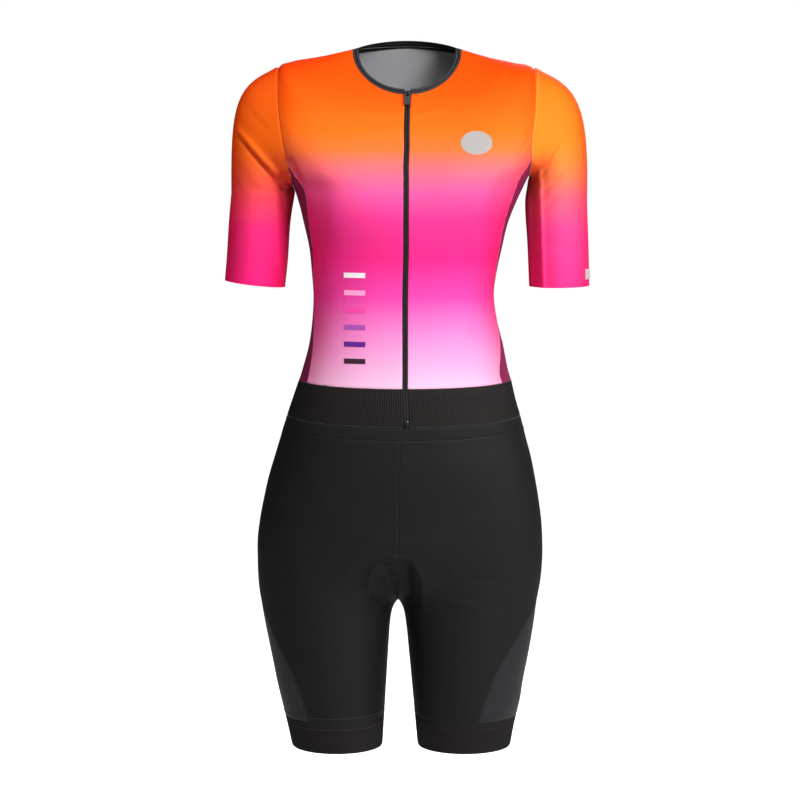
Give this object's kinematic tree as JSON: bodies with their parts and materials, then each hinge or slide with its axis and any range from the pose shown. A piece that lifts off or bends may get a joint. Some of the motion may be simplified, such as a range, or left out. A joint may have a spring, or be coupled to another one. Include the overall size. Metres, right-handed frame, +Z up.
{
  "type": "cycling suit",
  "caption": "Short-sleeved one-piece cycling suit in its worn, hollow shape, with a front zip, an elastic waistband and elastic leg bands.",
  "frame": {"origin": "midway between the two points where the neckline meets the shoulders, where the wearer's shoulders hold the suit up", "axes": "+Z up, the suit's front towards -Y, the wearer's left towards +X"},
  "size_m": [0.4552, 0.2466, 0.8833],
  "materials": {
    "shirt_knit": "smooth stretch knit, dyed from orange at the shoulders to pale pink at the waist",
    "side_knit": "plum stretch knit",
    "neck_binding_knit": "charcoal knit binding",
    "black_tape": "black woven tape",
    "zip_coil": "black nylon coil",
    "shorts_knit": "near-black stretch knit",
    "shorts_side_knit": "near-black stretch knit with a light sheen",
    "ribbed_elastic": "finely ribbed warm black elastic",
    "woven_tag": "pale woven tape, plain",
    "slider_metal": "dark painted metal",
    "stop_plastic": "black moulded plastic",
    "pull_rubber": "black moulded rubber over a metal tab"
  },
  "bodies": {
    "suit": {"back": "shirt_knit", "front_left": "shirt_knit", "front_right": "shirt_knit", "leg_gripper_left": "ribbed_elastic", "leg_gripper_right": "ribbed_elastic", "neck_binding_left": "neck_binding_knit", "neck_binding_right": "neck_binding_knit", "neck_tape": "black_tape", "shorts_back_left": "shorts_knit", "shorts_back_right": "shorts_knit", "shorts_front_left": "shorts_knit", "shorts_front_right": "shorts_knit", "shorts_side_left": "shorts_side_knit", "shorts_side_right": "shorts_side_knit", "side_left": "side_knit", "side_right": "side_knit", "sleeve_left": "shirt_knit", "sleeve_right": "shirt_knit", "sleeve_tag": "woven_tag", "waist_strip": "shorts_knit", "waistband": "ribbed_elastic", "zip_chain": "zip_coil", "zip_slider": "slider_metal", "zip_stop": "stop_plastic", "zip_tape_left": "black_tape", "zip_tape_right": "black_tape"},
    "pull_tab": {"zip_pull": "pull_rubber"}
  },
  "joints": [
    {"name": "pull_swing", "type": "hinge", "parent": "suit", "child": "pull_tab", "pos_m": [0.003, -0.06476, -0.05439], "axis": [-1, 0, 0], "range_deg": [0, 150]}
  ]
}
